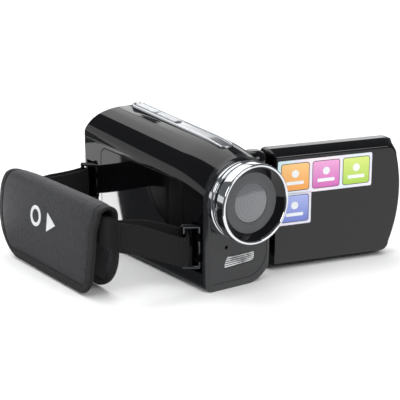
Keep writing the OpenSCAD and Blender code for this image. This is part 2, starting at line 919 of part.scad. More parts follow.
label_t = 0.12;
module lcd_label() {
    color("#e4ecee")
        at_open()
            translate([lcd_out, 0, 0])
                rotate([90, 0, 90])
                    linear_extrude(label_t) {
                        round_box(10.6, 33.8, 57, 49, 0.8);
                        round_box(10.6, 20.2, 27, 36, 0.8);
                    }
}

// Strap

module front_ring() { color("#dfe1e3") wire_ring(front_pivot, front_bar, front_legs); }
module rear_ring() { color("#2a2b2d") wire_ring(rear_pivot, rear_bar, rear_legs); }
module front_webbing() { color("#1c1b1d") ribbon(front_route, web_w, web_t); }
module rear_webbing() { color("#1c1b1d") ribbon(rear_route, web_w, web_t); }

// Pad: one folded section along the body, cut to the outline of each flap
fold_z = pad_top - fold_half - flap_t / 2;
inner_y0 = pad_y0 - 5;
fold_steps = 24;
function fold_point(r, k) = [fold_x - r * cos(180 * k / fold_steps), fold_z + r * sin(180 * k / fold_steps)];
module pad_section() {
    t = flap_t / 2;
    polygon(concat(
        [[outer_low_x - t, pad_low]],
        [for (k = [0:fold_steps]) fold_point(fold_half + t, k)],
        [[inner_low_x + t, pad_low], [inner_low_x - t, pad_low]],
        [for (k = [fold_steps:-1:0]) fold_point(fold_half - t, k)],
        [[outer_low_x + t, pad_low]]
    ));
}

// Side view of one flap, thick enough to cover x0 to x1
module flap_slab(x0, x1, y0, y1, r_front, r_rear, r_top) {
    translate([x0, 0, 0])
        rotate([90, 0, 90])
            linear_extrude(x1 - x0)
                hull($fn = 32) {
                    translate([y0 + r_front, pad_low + r_front]) circle(r_front);
                    translate([y1 - r_rear, pad_low + r_rear]) circle(r_rear);
                    translate([y0, pad_top]) square([2, 1]);
                    translate([y1 - r_top, pad_top + 1 - r_top]) circle(r_top);
                }
}

module hand_pad() {
    color("#55565a")
        intersection() {
            translate([0, far, 0]) rotate([90, 0, 0]) linear_extrude(2 * far) pad_section();
            union() {
                flap_slab(fold_x - 20, fold_x, pad_y0, pad_y1, 9, 18, 12);
                flap_slab(fold_x - 0.01, fold_x + 20, inner_y0, inner_y1, 20, 10, 6);
            }
        }
}

right_shell();
left_shell();
front_bezel();
front_panel();
rear_panel();
lens_base_ring();
lens_groove_ring();
lens_front_ring();
lens_dish();
lens_glass();
lens_cell();
sensor_board();
led_window();
led_emitters();
mic_capsule();
top_trim();
top_plate();
zoom_rocker();
shutter_button();
record_button();
mode_button();
status_lamp();
menu_key();
up_key();
down_key();
play_key();
speaker();
usb_port();
card_socket();
memory_card();
tripod_insert();
main_board();
battery_tray();
battery_cells();
battery_contacts();
battery_door();
hinge_pin();
hinge_block();
tilt_shaft();
lcd_cover();
lcd_frame();
lcd_panel();
lcd_window();
lcd_label();
front_ring();
rear_ring();
front_webbing();
rear_webbing();
hand_pad();
case_screws();
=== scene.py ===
import json
import math

import bmesh
import bpy
import numpy as np
from mathutils import Matrix, Vector

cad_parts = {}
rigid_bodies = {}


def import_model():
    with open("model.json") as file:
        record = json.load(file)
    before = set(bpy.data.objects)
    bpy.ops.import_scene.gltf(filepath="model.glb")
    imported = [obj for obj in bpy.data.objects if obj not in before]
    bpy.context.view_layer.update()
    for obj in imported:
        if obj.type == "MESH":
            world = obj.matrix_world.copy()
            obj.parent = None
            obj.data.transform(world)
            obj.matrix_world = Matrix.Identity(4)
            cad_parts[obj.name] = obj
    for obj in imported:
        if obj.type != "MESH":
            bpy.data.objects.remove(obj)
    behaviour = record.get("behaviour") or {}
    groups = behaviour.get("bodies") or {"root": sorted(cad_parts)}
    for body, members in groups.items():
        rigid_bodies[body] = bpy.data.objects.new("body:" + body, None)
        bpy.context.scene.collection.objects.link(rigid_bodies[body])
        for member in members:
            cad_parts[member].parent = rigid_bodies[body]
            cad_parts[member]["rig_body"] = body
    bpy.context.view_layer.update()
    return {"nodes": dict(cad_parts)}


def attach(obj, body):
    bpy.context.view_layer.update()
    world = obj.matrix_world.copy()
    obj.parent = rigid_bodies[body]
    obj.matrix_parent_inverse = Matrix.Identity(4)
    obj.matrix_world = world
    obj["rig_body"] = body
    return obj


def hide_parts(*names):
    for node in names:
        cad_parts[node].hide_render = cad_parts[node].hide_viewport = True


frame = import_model()
mm = 0.001


# Colours and nodes

def linearChannel(value):
    # sRGB to linear: the low end is a straight line, the rest a power of 2.4
    return value / 12.92 if value <= 0.04045 else ((value + 0.055) / 1.055) ** 2.4


def hexColour(text):
    parts = [int(text[i:i + 2], 16) / 255 for i in (1, 3, 5)]
    return (*[linearChannel(p) for p in parts], 1)


def shaded(colour, share):
    # the same colour, darker or lighter
    return (*[c * share for c in colour[:3]], 1)


def addNode(tree, kind, links=None, **settings):
    # a setting is an attribute of the node, or failing that one of its inputs
    node = tree.nodes.new(kind)
    for key, value in settings.items():
        if hasattr(node, key):
            setattr(node, key, value)
        else:
            node.inputs[key.replace("_", " ")].default_value = value
    for key, source in (links or {}).items():
        tree.links.new(source, node.inputs[key])
    return node


def newMaterial(name, **shaderSettings):
    material = bpy.data.materials.new(name)
    material.use_nodes = True
    tree = material.node_tree
    shader = tree.nodes["Principled BSDF"]
    for key, value in shaderSettings.items():
        shader.inputs[key.replace("_", " ")].default_value = value
    return material, tree, shader


def linkBump(tree, shader, height, strength, distance):
    bump = addNode(tree, "ShaderNodeBump", {"Height": height}, Strength=strength, Distance=distance)
    tree.links.new(bump.outputs["Normal"], shader.inputs["Normal"])


def objectPlace(tree):
    return addNode(tree, "ShaderNodeTexCoord").outputs["Object"]


def uvPlace(tree):
    return addNode(tree, "ShaderNodeTexCoord").outputs["UV"]


# Materials

def mouldedPlastic(name, colour, rough, specular=0.5, coat=0.0, peel=0.02):
    # injection-moulded ABS: a slight waviness a few millimetres long, and faint finger wear in the gloss
    material, tree, shader = newMaterial(name, Base_Color=hexColour(colour), Roughness=rough,
                                         Specular_IOR_Level=specular, Coat_Weight=coat, Coat_Roughness=0.04)
    place = objectPlace(tree)
    wave = addNode(tree, "ShaderNodeTexNoise", {"Vector": place}, Scale=90.0, Detail=1.0)      # 11 mm
    linkBump(tree, shader, wave.outputs["Fac"], peel, 0.4 * mm)
    wear = addNode(tree, "ShaderNodeTexNoise", {"Vector": place}, Scale=260.0, Detail=6.0)     # 4 mm
    spread = addNode(tree, "ShaderNodeMapRange", {"Value": wear.outputs["Fac"]},
                     To_Min=rough * 0.8, To_Max=rough * 1.35)
    tree.links.new(spread.outputs["Result"], shader.inputs["Roughness"])
    return material


def satinPlastic(name, colour, rough=0.5):
    # ABS from a spark-eroded mould: fine even grain, drawn at 0.25 mm so that it shows
    material, tree, shader = newMaterial(name, Base_Color=hexColour(colour), Roughness=rough)
    place = objectPlace(tree)
    spots = addNode(tree, "ShaderNodeTexNoise", {"Vector": place}, Scale=1 / (0.25 * mm), Detail=3.0)
    linkBump(tree, shader, spots.outputs["Fac"], 0.25, 0.03 * mm)
    tint = addNode(tree, "ShaderNodeTexNoise", {"Vector": place}, Scale=120.0, Detail=2.0)
    base = hexColour(colour)
    ramp = addNode(tree, "ShaderNodeValToRGB", {"Fac": tint.outputs["Fac"]})
    ramp.color_ramp.elements[0].color = shaded(base, 0.85)
    ramp.color_ramp.elements[1].color = shaded(base, 1.15)
    tree.links.new(ramp.outputs["Color"], shader.inputs["Base Color"])
    return material


def platedMetal(name, colour, rough, streak=0.0):
    # bright plating on moulded plastic: mirror-like, with a soft haze; streak adds a fine brushed line
    material, tree, shader = newMaterial(name, Base_Color=hexColour(colour), Metallic=1.0, Roughness=rough)
    place = objectPlace(tree)
    haze = addNode(tree, "ShaderNodeTexNoise", {"Vector": place}, Scale=300.0, Detail=4.0)
    spread = addNode(tree, "ShaderNodeMapRange", {"Value": haze.outputs["Fac"]},
                     To_Min=rough * 0.7, To_Max=rough * 1.5 + 0.01)
    tree.links.new(spread.outputs["Result"], shader.inputs["Roughness"])
    if streak:
        turned = addNode(tree, "ShaderNodeMapping", {"Vector": place})
        turned.inputs["Scale"].default_value = (4000, 60, 4000)                                # 0.25 mm lines
        lines = addNode(tree, "ShaderNodeTexNoise", {"Vector": turned.outputs["Vector"]},
                        Scale=1.0, Detail=2.0)
        linkBump(tree, shader, lines.outputs["Fac"], streak, 0.02 * mm)
    return material


def grainedLeather(name, colour, pebble=0.75 * mm):
    # leatherette: embossed pebbles with painted shade in the creases between them, and a soft broken sheen
    material, tree, shader = newMaterial(name, Roughness=0.5, Specular_IOR_Level=0.45, Sheen_Weight=0.1)
    place = objectPlace(tree)
    warp = addNode(tree, "ShaderNodeTexNoise", {"Vector": place}, Scale=700.0, Detail=2.0)
    shift = addNode(tree, "ShaderNodeVectorMath", {0: warp.outputs["Color"]},
                    operation="SCALE", Scale=0.35 * mm)
    moved = addNode(tree, "ShaderNodeVectorMath", {0: place, 1: shift.outputs["Vector"]}, operation="ADD")
    cells = addNode(tree, "ShaderNodeTexVoronoi", {"Vector": moved.outputs["Vector"]},
                    feature="DISTANCE_TO_EDGE", Scale=1 / pebble)
    dome = addNode(tree, "ShaderNodeMapRange", {"Value": cells.outputs["Distance"]},
                   interpolation_type="SMOOTHSTEP", From_Min=0.0, From_Max=0.28)
    linkBump(tree, shader, dome.outputs["Result"], 0.8, 0.2 * mm)
    base = hexColour(colour)
    # painted shade: the colour falls to 0.45 of the base in the creases between the pebbles
    ramp = addNode(tree, "ShaderNodeValToRGB", {"Fac": dome.outputs["Result"]})
    ramp.color_ramp.elements[0].color = shaded(base, 0.45)
    ramp.color_ramp.elements[1].color = base
    tree.links.new(ramp.outputs["Color"], shader.inputs["Base Color"])
    return material


def wovenRib(name, colour):
    # polypropylene webbing: ribs across the tape, each crossed by fine yarns, with painted shade in the
    # hollows and a painted highlight on the raised ribs; UV is in metres
    rib, yarn = 1.1 * mm, 0.9 * mm
    material, tree, shader = newMaterial(name, Roughness=0.78, Sheen_Weight=0.08, Sheen_Roughness=0.5,
                                         Specular_IOR_Level=0.3)
    place = uvPlace(tree)
    parts = addNode(tree, "ShaderNodeSeparateXYZ", {"Vector": place})
    along = addNode(tree, "ShaderNodeMath", {0: parts.outputs["X"]}, operation="MULTIPLY")
    along.inputs[1].default_value = 2 * math.pi / rib
    across = addNode(tree, "ShaderNodeMath", {0: parts.outputs["Y"]}, operation="MULTIPLY")
    across.inputs[1].default_value = 2 * math.pi / yarn
    ribs = addNode(tree, "ShaderNodeMath", {0: along.outputs[0]}, operation="SINE")
    yarns = addNode(tree, "ShaderNodeMath", {0: across.outputs[0]}, operation="SINE")
    both = addNode(tree, "ShaderNodeMath", {0: yarns.outputs[0], 2: ribs.outputs[0]},
                   operation="MULTIPLY_ADD")
    both.inputs[1].default_value = 0.35
    level = addNode(tree, "ShaderNodeMapRange", {"Value": both.outputs[0]}, From_Min=-1.35, From_Max=1.35)
    linkBump(tree, shader, level.outputs["Result"], 0.8, 0.18 * mm)
    base = hexColour(colour)
    # painted shade and highlight: the colour runs from 0.35 of the base in the hollows to 1.5 of it on the
    # raised ribs
    ramp = addNode(tree, "ShaderNodeValToRGB", {"Fac": level.outputs["Result"]})
    ramp.color_ramp.elements[0].color = shaded(base, 0.35)
    ramp.color_ramp.elements[1].color = shaded(base, 1.5)
    tree.links.new(ramp.outputs["Color"], shader.inputs["Base Color"])
    return material


def foilLabel(name, first, second, third):
    # printed foil: a slow pearly drift of three pale colours
    material, tree, shader = newMaterial(name, Roughness=0.28, Coat_Weight=0.3, Coat_Roughness=0.1)
    place = objectPlace(tree)
    drift = addNode(tree, "ShaderNodeTexNoise", {"Vector": place}, Scale=38.0, Detail=1.0)     # 26 mm
    ramp = addNode(tree, "ShaderNodeValToRGB", {"Fac": drift.outputs["Fac"]})
    ends = ramp.color_ramp.elements
    ends[0].position, ends[0].color = 0.35, hexColour(first)
    ends[1].position, ends[1].color = 0.65, hexColour(third)
    ends.new(0.5).color = hexColour(second)
    tree.links.new(ramp.outputs["Color"], shader.inputs["Base Color"])
    return material


def printedTile(name, low, high, z0, z1):
    # ink that fades from the bottom of the tile to its top
    material, tree, shader = newMaterial(name, Roughness=0.3, Coat_Weight=0.25, Coat_Roughness=0.1)
    parts = addNode(tree, "ShaderNodeSeparateXYZ", {"Vector": objectPlace(tree)})
    fade = addNode(tree, "ShaderNodeMapRange", {"Value": parts.outputs["Z"]},
                   From_Min=z0 * mm, From_Max=z1 * mm)
    ramp = addNode(tree, "ShaderNodeValToRGB", {"Fac": fade.outputs["Result"]})
    ramp.color_ramp.elements[0].color = hexColour(low)
    ramp.color_ramp.elements[1].color = hexColour(high)
    tree.links.new(ramp.outputs["Color"], shader.inputs["Base Color"])
    return material


def ringedGlass(name, colour, lensHeight):
    # coated front glass over stepped baffles: faint painted rings of light and shade from the steps, about
    # the lens axis
    pitch = 1.5 * mm
    material, tree, shader = newMaterial(name, Roughness=0.12, Coat_Weight=0.8, Coat_Roughness=0.03)
    centred = addNode(tree, "ShaderNodeMapping", {"Vector": objectPlace(tree)})
    centred.inputs["Location"].default_value = (0, 0, -lensHeight)
    centred.inputs["Scale"].default_value = (1, 0, 1)
    reach = addNode(tree, "ShaderNodeVectorMath", {0: centred.outputs["Vector"]}, operation="LENGTH")
    turns = addNode(tree, "ShaderNodeMath", {0: reach.outputs["Value"]}, operation="MULTIPLY")
    turns.inputs[1].default_value = 2 * math.pi / pitch
    wave = addNode(tree, "ShaderNodeMath", {0: turns.outputs[0]}, operation="SINE")
    level = addNode(tree, "ShaderNodeMapRange", {"Value": wave.outputs[0]}, From_Min=-1.0, From_Max=1.0)
    base = hexColour(colour)
    # painted light and shade: the rings swing the colour between 0.9 and 1.04 of the base
    ramp = addNode(tree, "ShaderNodeValToRGB", {"Fac": level.outputs["Result"]})
    ramp.color_ramp.elements[0].color = shaded(base, 0.9)
    ramp.color_ramp.elements[1].color = shaded(base, 1.04)
    tree.links.new(ramp.outputs["Color"], shader.inputs["Base Color"])
    return material


def ribbedAcrylic(name, paintedGrooveShade, paintedCrestHighlight):
    # cast acrylic in half-round ribs, with painted shade in the grooves and a painted highlight on the
    # crests, a little cloudy; UV Y counts the ribs
    material, tree, shader = newMaterial(name, Roughness=0.12, Transmission_Weight=0.1, IOR=1.49)
    parts = addNode(tree, "ShaderNodeSeparateXYZ", {"Vector": uvPlace(tree)})
    phase = addNode(tree, "ShaderNodeMath", {0: parts.outputs["Y"]}, operation="MULTIPLY")
    phase.inputs[1].default_value = math.pi
    wave = addNode(tree, "ShaderNodeMath", {0: phase.outputs[0]}, operation="SINE")
    crestHighlightMask = addNode(tree, "ShaderNodeMath", {0: wave.outputs[0]}, operation="ABSOLUTE")
    cloud = addNode(tree, "ShaderNodeTexNoise", {"Vector": objectPlace(tree)}, Scale=300.0, Detail=2.0)
    mixed = addNode(tree, "ShaderNodeMath", {0: crestHighlightMask.outputs[0], 1: cloud.outputs["Fac"]},
                    operation="MULTIPLY")
    # painted shade in the grooves up to a painted highlight on the crests
    ramp = addNode(tree, "ShaderNodeValToRGB", {"Fac": mixed.outputs[0]})
    ends = ramp.color_ramp.elements
    ends[0].position, ends[0].color = 0.12, hexColour(paintedGrooveShade)
    ends[1].position, ends[1].color = 0.5, hexColour(paintedCrestHighlight)
    tree.links.new(ramp.outputs["Color"], shader.inputs["Base Color"])
    return material


def circuitBoard(name):
    # solder mask over copper tracks
    material, tree, shader = newMaterial(name, Roughness=0.35)
    cells = addNode(tree, "ShaderNodeTexVoronoi", {"Vector": objectPlace(tree)},
                    distance="CHEBYCHEV", Scale=420.0)
    ramp = addNode(tree, "ShaderNodeValToRGB", {"Fac": cells.outputs["Distance"]})
    ramp.color_ramp.elements[0].color = hexColour("#0d3a1e")
    ramp.color_ramp.elements[1].color = hexColour("#1f6636")
    tree.links.new(ramp.outputs["Color"], shader.inputs["Base Color"])
    return material


materials = {
    "blackAbs": mouldedPlastic("blackAbs", "#08080a", 0.045, specular=0.5),
    "bezelAbs": mouldedPlastic("bezelAbs", "#202123", 0.12),
    "frontAbs": mouldedPlastic("frontAbs", "#202123", 0.12),
    "chromePlate": platedMetal("chromePlate", "#e3e5e8", 0.06),
    "smokedChrome": platedMetal("smokedChrome", "#6b6d70", 0.14),
    "darkSatin": satinPlastic("darkSatin", "#2c2d2f", 0.42),
    "dishSatin": satinPlastic("dishSatin", "#4a4b4d", 0.38),
    "coatedGlass": ringedGlass("coatedGlass", "#6d6f72", 0.038),
    "greenBoard": circuitBoard("greenBoard"),
    "clearAcrylic": ribbedAcrylic("clearAcrylic", "#3a3b3e", "#f4f5f6"),
    "nickelWire": platedMetal("nickelWire", "#4c4e51", 0.12),
    "tileLine": satinPlastic("tileLine", "#3a3234", 0.4),
    "clearResin": mouldedPlastic("clearResin", "#e9e2c8", 0.15),
    "platedSteel": platedMetal("platedSteel", "#a7a9ac", 0.25),
    "satinSilver": platedMetal("satinSilver", "#eff0f2", 0.16, streak=0.03),
    "silverLacquer": platedMetal("silverLacquer", "#e2e4e6", 0.2),
    "redGloss": mouldedPlastic("redGloss", "#b0201a", 0.12, coat=0.3),
    "greenLens": mouldedPlastic("greenLens", "#3fa84b", 0.1, coat=0.4),
    "cellJacket": mouldedPlastic("cellJacket", "#8a742e", 0.3),
    "displayGlass": mouldedPlastic("displayGlass", "#07080b", 0.03, coat=0.5, peel=0.0),
    "blackWire": mouldedPlastic("blackWire", "#141416", 0.2),
    "grainedLeather": grainedLeather("grainedLeather", "#3c3c40", 1.0 * mm),
    "boundTape": grainedLeather("boundTape", "#141416", 0.6 * mm),
    "whitePrint": satinPlastic("whitePrint", "#eceef0", 0.45),
    "webbingRib": wovenRib("webbingRib", "#0f0e10"),
    "pearlFoil": foilLabel("pearlFoil", "#cfe9ee", "#e4e2f1", "#f2e6ec"),
}


# Mesh builders

def gridFaces(rows, cols, closeRows=False, closeCols=False):
    # quads between neighbouring rows and columns, wrapping round where it is closed
    r = np.arange(rows if closeRows else rows - 1)[:, None]
    c = np.arange(cols if closeCols else cols - 1)[None, :]
    r2, c2 = (r + 1) % rows, (c + 1) % cols
    quads = np.stack([r * cols + c, r * cols + c2, r2 * cols + c2, r2 * cols + c], -1)
    return quads.reshape(-1, 4)


def buildMesh(name, points, faces, material, body, caps=(), smooth=True, uv=None):
    # points in millimetres; caps are rings closed by one face each
    mesh = bpy.data.meshes.new(name)
    mesh.from_pydata((np.asarray(points).reshape(-1, 3) * mm).tolist(), [],
                     np.asarray(faces).tolist() + [list(map(int, c)) for c in caps])
    mesh.validate()
    if uv is not None:
        layer = mesh.uv_layers.new(name="UVMap")
        index = np.zeros(len(mesh.loops), np.int32)
        mesh.loops.foreach_get("vertex_index", index)
        layer.data.foreach_set("uv", np.asarray(uv, np.float32)[index].ravel())
    work = bmesh.new()
    work.from_mesh(mesh)
    bmesh.ops.recalc_face_normals(work, faces=work.faces)
    work.to_mesh(mesh)
    work.free()
    mesh.polygons.foreach_set("use_smooth", np.full(len(mesh.polygons), smooth))
    if smooth:
        mesh.set_sharp_from_angle(angle=math.radians(38))
    for m in (material if isinstance(material, list) else [material]):
        mesh.materials.append(m)
    piece = bpy.data.objects.new(name, mesh)
    bpy.context.scene.collection.objects.link(piece)
    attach(piece, body)
    return piece


def lathe(name, profile, material, body):
    # closed profile of radius and height, turned about the lens axis; height runs out of the front face
    steps = 128
    profile = np.asarray(profile, float)
    turn = np.linspace(0, 2 * math.pi, steps, endpoint=False)[None, :]
    r, h = profile[:, 0][:, None], profile[:, 1][:, None]
    points = np.stack([r * np.cos(turn), -lens["face"] - h + 0 * turn, lens["height"] + r * np.sin(turn)], -1)
    return buildMesh(name, points, gridFaces(len(profile), steps, closeRows=True, closeCols=True),
                     material, body)


def rounded(profile, radius):
    # each corner of a closed profile becomes a curve between two points at the given distance from it
    steps = 4
    profile = np.asarray(profile, float)
    before, after = np.roll(profile, 1, 0), np.roll(profile, -1, 0)
    toBefore, toAfter = before - profile, after - profile
    lengthBefore = np.linalg.norm(toBefore, axis=1, keepdims=True)
    lengthAfter = np.linalg.norm(toAfter, axis=1, keepdims=True)
    cut = np.minimum(radius, 0.45 * np.minimum(lengthBefore, lengthAfter))
    start, end = profile + toBefore / lengthBefore * cut, profile + toAfter / lengthAfter * cut
    t = np.linspace(0, 1, steps + 1)[None, :, None]
    curve = (1 - t) ** 2 * start[:, None] + 2 * t * (1 - t) * profile[:, None] + t ** 2 * end[:, None]
    return curve.reshape(-1, 2)


def bevelledCopy(node, material, width, planar):
    # the CAD shape with its triangles merged into flats up to an angle, and its edges softened
    source = frame["nodes"][node]
    work = bmesh.new()
    work.from_mesh(source.data)
    bmesh.ops.remove_doubles(work, verts=work.verts, dist=1e-6)
    bmesh.ops.dissolve_limit(work, angle_limit=math.radians(planar), verts=work.verts, edges=work.edges)
    mesh = bpy.data.meshes.new(node + "Soft")
    work.to_mesh(mesh)
    work.free()
    mesh.polygons.foreach_set("use_smooth", np.full(len(mesh.polygons), True))
    mesh.set_sharp_from_angle(angle=math.radians(30))
    mesh.materials.clear()
    mesh.materials.append(material)
    piece = bpy.data.objects.new(node + "Soft", mesh)
    bpy.context.scene.collection.objects.link(piece)
    if width:
        bevel = piece.modifiers.new("softEdge", "BEVEL")
        bevel.width, bevel.segments, bevel.limit_method = width * mm, 3, "ANGLE"
        bevel.angle_limit, bevel.harden_normals = math.radians(32), True
        bevel.use_clamp_overlap = True
    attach(piece, source["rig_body"])
    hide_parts(node)


# Camera and stage

print("stage")
view = {"place": (-0.2914, -0.4265, 0.1721), "right": (0.8131, -0.5821, 0), "up": (0.1579, 0.2206, 0.9625),
        "back": (-0.5602, -0.7827, 0.2712), "lensLength": 108, "sensor": 36}
camera = bpy.data.cameras.new("camera")
camera.lens, camera.sensor_width, camera.clip_start = view["lensLength"], view["sensor"], 0.01
cameraPiece = bpy.data.objects.new("camera", camera)
bpy.context.scene.collection.objects.link(cameraPiece)
turned = Matrix((view["right"], view["up"], view["back"])).transposed().to_4x4()
cameraPiece.matrix_world = Matrix.Translation(view["place"]) @ turned
bpy.context.scene.camera = cameraPiece

floorMesh = bpy.data.meshes.new("floor")
floorMesh.from_pydata([(-6, -6, 0), (6, -6, 0), (6, 6, 0), (-6, 6, 0)], [], [(0, 1, 2, 3)])
floorMesh.materials.append(newMaterial("paperFloor", Base_Color=hexColour("#f4f4f4"), Roughness=0.9)[0])
floor = bpy.data.objects.new("floor", floorMesh)
bpy.context.scene.collection.objects.link(floor)
floor.visible_glossy = False

world = bpy.data.worlds.new("softRoom")
bpy.context.scene.world = world
world.use_nodes = True
world.node_tree.nodes["Background"].inputs["Color"].default_value = hexColour("#dfe3e8")
world.node_tree.nodes["Background"].inputs["Strength"].default_value = 0.16


def softbox(name, place, target, size, power):
    light = bpy.data.lights.new(name, "AREA")
    light.shape, light.size, light.size_y, light.energy = "RECTANGLE", size[0], size[1], power
    piece = bpy.data.objects.new(name, light)
    bpy.context.scene.collection.objects.link(piece)
    direction = Vector(target) - Vector(place)
    piece.matrix_world = Matrix.Translation(place) @ direction.to_track_quat("-Z", "Y").to_matrix().to_4x4()
    return piece


# the big rear box lights the round top, the low cards give the gloss its quiet horizon;
# each has a place, a target, a size and a power
lightsUsed = {
    "zenithBox": ((0.0, 0.0, 1.5), (0, 0, 0), (2.2, 2.2), 28),
    "rearBox": ((0.106, 0.842, 1.163), (0, 0, 0.05), (1.36, 1.3), 9.4),
    "backdropCard": ((0.75, 0.98, 0.36), (0, 0, 0.05), (1.1, 0.32), 1.6),
    "horizonCard": ((-0.72, 0.86, 0.02), (0, 0, 0.05), (0.62, 0.42), 0.54),
    "rearSideCard": ((-0.049, 0.11, 0.017), (-0.0175, 0.03, 0.03), (0.045, 0.026), 0.0052),
    "frontBox": ((0.15, -1.1, 0.75), (0, 0, 0.03), (0.9, 0.6), 7),
    "strapBox": ((-1.2, -0.3, 0.75), (0, 0, 0.03), (0.6, 0.6), 5),
    "frontCard": ((0.11, -0.26, -0.02), (0.11, -0.26, 1), (0.46, 0.4), 0.62)}
for name, (place, target, size, power) in lightsUsed.items():
    piece = softbox(name, place, target, size, power)
    piece.visible_camera = False
    # the overhead box only fills the shadows, the gloss shows the others
    piece.visible_glossy = name != "zenithBox"
# small kicker lying on the floor behind the pad, turned to face the side panel's rear
kickerUsed = {"place": (-0.0475, 0.0905, 0.0015), "above": (-0.0475, 0.0905, 1), "size": (0.06, 0.024),
              "power": 0.04, "turn": -61}
kicker = softbox("rearKicker", *[kickerUsed[key] for key in ("place", "above", "size", "power")])
faceUp = Matrix.Rotation(math.pi, 4, "X")
swivel = Matrix.Rotation(math.radians(kickerUsed["turn"]), 4, "Z")
kicker.matrix_world = Matrix.Translation(kickerUsed["place"]) @ swivel @ faceUp
kicker.visible_camera = False
bpy.context.scene.view_settings.view_transform = "Standard"

# Lens

print("lens")
lens = {"face": 48, "height": 38, "length": 11, "groove": (3.6, 5.6), "dishDepth": 4.6,
        "flangeRadius": 16.7, "grooveRadius": 15.5, "rimRadius": 17, "tubeRadius": 12.4,
        "boreRadius": 15.6, "wallLow": 12.8, "baffleWidth": 3.6, "glassRadius": 8.2, "glassSag": 0.7}
floorOfDish = lens["length"] - lens["dishDepth"]
flange = lathe("lensFlange", rounded([
    (lens["tubeRadius"], 0.05), (lens["flangeRadius"], 0.05), (lens["flangeRadius"], 2.2),
    (lens["flangeRadius"] - 0.5, 2.6), (lens["flangeRadius"] - 0.5, lens["groove"][0]),
    (lens["tubeRadius"], lens["groove"][0])], 0.25), materials["chromePlate"], "body")
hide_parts("lens_base_ring")
groove = lathe("lensGroove", rounded([
    (lens["tubeRadius"], lens["groove"][0]), (lens["grooveRadius"], lens["groove"][0]),
    (lens["grooveRadius"], lens["groove"][1]), (lens["tubeRadius"], lens["groove"][1])], 0.1),
    materials["smokedChrome"], "body")
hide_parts("lens_groove_ring")
rim = lathe("lensRim", rounded([
    (lens["tubeRadius"], lens["groove"][1]), (lens["rimRadius"] - 0.6, lens["groove"][1]),
    (lens["rimRadius"], lens["groove"][1] + 0.7), (lens["rimRadius"], lens["length"] - 0.5),
    (lens["rimRadius"] - 0.4, lens["length"]), (lens["boreRadius"] + 0.25, lens["length"]),
    (lens["boreRadius"], lens["length"] - 0.4), (lens["boreRadius"], floorOfDish),
    (lens["tubeRadius"], floorOfDish)], 0.2), materials["chromePlate"], "body")
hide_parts("lens_front_ring")
# the dish floor rises and falls a little in five steps, inside a glossy sloping wall
baffle = [(lens["wallLow"] - lens["baffleWidth"] * t, floorOfDish + 1.2 - 0.12 * (i % 2))
          for i, t in enumerate(np.linspace(0, 1, 5))]
dish = lathe("lensDish", [(lens["glassRadius"], floorOfDish), (lens["wallLow"], floorOfDish)]
             + baffle + [(lens["glassRadius"] + 0.1, floorOfDish + 0.95)],
             materials["dishSatin"], "body")
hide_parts("lens_dish")
lathe("lensWall", rounded([(lens["wallLow"], floorOfDish), (lens["boreRadius"], floorOfDish),
                           (lens["boreRadius"], lens["length"] - 0.5),
                           (lens["boreRadius"] - 0.35, lens["length"] - 0.6),
                           (lens["wallLow"], floorOfDish + 1.15)], 0.15),
      materials["blackAbs"], "body")
# front glass: a shallow dome, height falls with the square of the radius
reach = np.linspace(0.02, 1, 24) * lens["glassRadius"]
domeTop = floorOfDish + 1.5 - lens["glassSag"] * (reach / lens["glassRadius"]) ** 2
glassBack = [(lens["glassRadius"], floorOfDish - 0.6), (0.02, floorOfDish - 0.6)]
glassProfile = np.concatenate([np.stack([reach, domeTop], 1), glassBack])
glass = lathe("lensGlass", glassProfile, materials["coatedGlass"], "body")
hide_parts("lens_glass")

# Lamp window: half-round ribs along a leaning outline with round ends, depth is the size of a sine
print("lamp window")
lamp = {"low": (9.3, 10.1), "high": (14.0, 14.0),
        "leftLow": -8.2, "leftHigh": -6.5, "rightLow": 7.5, "rightHigh": 8.0,
        "ribs": 5, "ribDepth": 0.5, "endPull": 1.4, "front": -47.74}
u = np.linspace(0, 1, 40)[None, :]
v = np.linspace(0, 1, lamp["ribs"] * 8 + 1)[:, None]
endPull = lamp["endPull"] * (1 - np.sqrt(1 - (2 * v - 1) ** 4 * 0.98))
leftEdge = lamp["leftLow"] + (lamp["leftHigh"] - lamp["leftLow"]) * v + endPull
rightEdge = lamp["rightLow"] + (lamp["rightHigh"] - lamp["rightLow"]) * v - endPull
lowEdge = lamp["low"][0] + (lamp["low"][1] - lamp["low"][0]) * u
highEdge = lamp["high"][0] + (lamp["high"][1] - lamp["high"][0]) * u
fadeEnd = np.minimum(1, 10 * np.minimum(u, 1 - u))
window = np.stack([leftEdge + (rightEdge - leftEdge) * u,
                   lamp["front"] - lamp["ribDepth"] * np.abs(np.sin(math.pi * lamp["ribs"] * v)) * fadeEnd,
                   lowEdge + (highEdge - lowEdge) * v], -1)
ribUv = np.stack(np.broadcast_arrays(u, lamp["ribs"] * v), -1).reshape(-1, 2)
buildMesh("lampRibs", window, gridFaces(*window.shape[:2]), materials["clearAcrylic"], "body",
          uv=ribUv)

# Screen lid

print("screen")
screen = {"hinge": (15, -37), "open": 102.5, "y0": 7.6, "y1": 74.1, "z0": 0.5, "z1": 53.4,
          "outer": 2.8, "split": -3.2, "slope": 2.0,
          "nearCorner": 2.0, "farTop": 7.0, "farLow": 6.0, "bow": 65, "bowHeight": 30}
screenPlace = Matrix.Translation((screen["hinge"][0], screen["hinge"][1], 0)) @ Matrix.Rotation(
    -math.radians(screen["open"]), 4, "Z")


def toOpenScreen(points):
    # hinge frame to the open place
    m = np.array(screenPlace)
    points = np.asarray(points, float).reshape(-1, 3)
    return points @ m[:3, :3].T + m[:3, 3]


def bowAt(z, inset):
    # how far the bowed far end reaches at a height: a circle about a point inside the lid
    reach = np.sqrt((screen["bow"] - inset) ** 2 - (z - screen["bowHeight"]) ** 2)
    return screen["y1"] - screen["bow"] + reach


